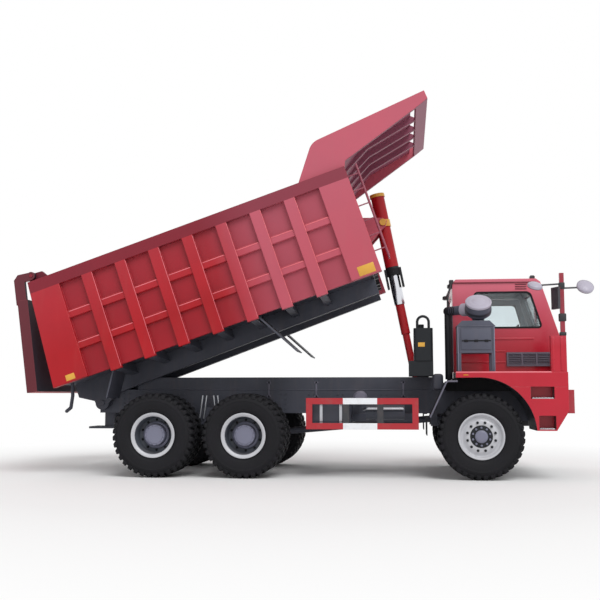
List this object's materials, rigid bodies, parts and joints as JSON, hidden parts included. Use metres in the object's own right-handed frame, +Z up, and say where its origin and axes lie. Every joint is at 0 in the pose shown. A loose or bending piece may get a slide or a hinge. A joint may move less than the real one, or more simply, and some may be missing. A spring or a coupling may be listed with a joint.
{
  "type": "dump truck",
  "caption": "Wide-body mining dump truck with a half-width cab, a raised ribbed bed with a rock guard, a telescopic front hoist, a hanging tailgate and lugged tyres.",
  "frame": {"origin": "on the ground under the middle of the truck's box", "axes": "+X to the front of the truck, +Y to its left side, +Z up"},
  "size_m": [9.5363, 3.28, 6.3327],
  "materials": {
    "bed_red": "semi-gloss red paint",
    "cab_red": "gloss red paint",
    "chassis_black": "satin black paint",
    "dark_paint": "satin dark grey paint",
    "tyre": "matt black rubber",
    "wheel_silver": "silver paint",
    "glass": "clear tinted glass",
    "chrome": "bright plated steel",
    "black_plastic": "grained black plastic",
    "lamp": "clear lamp in a dark housing"
  },
  "bodies": {
    "chassis": {"frame": "chassis_black", "subframe": "chassis_black", "tow_hitch": "chassis_black", "front_axle": "chassis_black", "rear_axles": "chassis_black", "springs": "chassis_black", "engine_block": "chassis_black", "driveline": "chassis_black", "fender_left": "cab_red", "fender_right": "cab_red", "front_bumper": "cab_red", "lamps": "lamp", "front_grille": "black_plastic", "side_louvre": "black_plastic", "cab_posts": "chassis_black", "cab_floor": "cab_red", "cab_roof": "cab_red", "cab_rear_wall": "cab_red", "cab_front_frame": "cab_red", "cab_right_wall": "cab_red", "cab_left_frame": "cab_red", "cab_glass": "glass", "cab_interior": "black_plastic", "deck_box": "dark_paint", "air_cleaner": "dark_paint", "deck_panel": "cab_red", "mirrors": "dark_paint", "hydraulic_tank": "dark_paint", "side_tanks": "chassis_black", "side_guards": "bed_red", "front_flaps": "black_plastic"},
    "bed": {"bed_floor": "chassis_black", "bed_side_left": "bed_red", "bed_side_right": "bed_red", "bed_front_wall": "bed_red", "bed_ladder": "bed_red", "bed_canopy": "bed_red", "bed_mudguards": "chassis_black"},
    "gate": {"tailgate": "bed_red"},
    "hoist_barrel": {"hoist_barrel": "bed_red"},
    "door": {"cab_door": "cab_red", "door_glass": "glass"},
    "knuckle_left": {"knuckle_left": "chassis_black"},
    "knuckle_right": {"knuckle_right": "chassis_black"},
    "hoist_stage_1": {"hoist_stage_1": "chrome"},
    "hoist_stage_2": {"hoist_stage_2": "bed_red"},
    "hoist_stage_3": {"hoist_stage_3": "bed_red"},
    "hoist_stage_4": {"hoist_stage_4": "bed_red"},
    "wheel_front_left": {"front_tyre_left": "tyre", "front_rim_left": "wheel_silver"},
    "wheel_rear_1_left": {"rear_1_tyres_left": "tyre", "rear_1_rims_left": "wheel_silver"},
    "wheel_rear_2_left": {"rear_2_tyres_left": "tyre", "rear_2_rims_left": "wheel_silver"},
    "wheel_front_right": {"front_tyre_right": "tyre", "front_rim_right": "wheel_silver"},
    "wheel_rear_1_right": {"rear_1_tyres_right": "tyre", "rear_1_rims_right": "wheel_silver"},
    "wheel_rear_2_right": {"rear_2_tyres_right": "tyre", "rear_2_rims_right": "wheel_silver"}
  },
  "joints": [
    {"name": "bed_tilt", "type": "hinge", "parent": "chassis", "child": "bed", "pos_m": [-3.5288, 0, 1.2], "axis": [0, -1, 0], "range_deg": [-19.07, 25.93]},
    {"name": "gate_swing", "type": "hinge", "parent": "bed", "child": "gate", "pos_m": [-4.47247, 0, 3.33907], "axis": [0, 1, 0], "range_deg": [-7.9, 60]},
    {"name": "hoist_pivot", "type": "hinge", "parent": "bed", "child": "hoist_barrel", "pos_m": [1.42108, 0, 4.39773], "axis": [0, 1, 0], "range_deg": [-6.7, 9.1]},
    {"name": "steer_left", "type": "hinge", "parent": "chassis", "child": "knuckle_left", "pos_m": [2.9712, 1.08, 0.685], "axis": [0, 0, 1], "range_deg": [-32, 32]},
    {"name": "steer_right", "type": "hinge", "parent": "chassis", "child": "knuckle_right", "pos_m": [2.9712, -1.08, 0.685], "axis": [0, 0, 1], "range_deg": [-32, 32]},
    {"name": "door_swing", "type": "hinge", "parent": "chassis", "child": "door", "pos_m": [4.2112, 1.568, 1.96082], "axis": [0, 0, -1], "range_deg": [0, 65]},
    {"name": "hoist_slide_1", "type": "slide", "parent": "hoist_barrel", "child": "hoist_stage_1", "axis": [0.1915, 0, -0.9815], "range_m": [-0.45, 0.611]},
    {"name": "hoist_slide_2", "type": "slide", "parent": "hoist_stage_1", "child": "hoist_stage_2", "axis": [0.1915, 0, -0.9815], "range_m": [-0.45, 0.611]},
    {"name": "hoist_slide_3", "type": "slide", "parent": "hoist_stage_2", "child": "hoist_stage_3", "axis": [0.1915, 0, -0.9815], "range_m": [-0.45, 0.611]},
    {"name": "hoist_slide_4", "type": "slide", "parent": "hoist_stage_3", "child": "hoist_stage_4", "axis": [0.1915, 0, -0.9815], "range_m": [-0.45, 0.611]},
    {"name": "spin_front_left", "type": "hinge", "parent": "knuckle_left", "child": "wheel_front_left", "pos_m": [2.9712, 1.35, 0.685], "axis": [0, 1, 0], "continuous": true},
    {"name": "spin_rear_1_left", "type": "hinge", "parent": "chassis", "child": "wheel_rear_1_left", "pos_m": [-0.82879, 1.225, 0.685], "axis": [0, 1, 0], "continuous": true},
    {"name": "spin_rear_2_left", "type": "hinge", "parent": "chassis", "child": "wheel_rear_2_left", "pos_m": [-2.32879, 1.225, 0.685], "axis": [0, 1, 0], "continuous": true},
    {"name": "spin_front_right", "type": "hinge", "parent": "knuckle_right", "child": "wheel_front_right", "pos_m": [2.9712, -1.35, 0.685], "axis": [0, 1, 0], "continuous": true},
    {"name": "spin_rear_1_right", "type": "hinge", "parent": "chassis", "child": "wheel_rear_1_right", "pos_m": [-0.82879, -1.225, 0.685], "axis": [0, 1, 0], "continuous": true},
    {"name": "spin_rear_2_right", "type": "hinge", "parent": "chassis", "child": "wheel_rear_2_right", "pos_m": [-2.32879, -1.225, 0.685], "axis": [0, 1, 0], "continuous": true}
  ],
  "couplings": [
    {"joint": "hoist_pivot", "follows": "bed_tilt", "ratio": 0.35},
    {"joint": "steer_right", "follows": "steer_left", "ratio": 1},
    {"joint": "hoist_slide_1", "follows": "bed_tilt", "m_per_rad": 1.3465},
    {"joint": "hoist_slide_2", "follows": "bed_tilt", "m_per_rad": 1.3465},
    {"joint": "hoist_slide_3", "follows": "bed_tilt", "m_per_rad": 1.3465},
    {"joint": "hoist_slide_4", "follows": "bed_tilt", "m_per_rad": 1.3465}
  ]
}
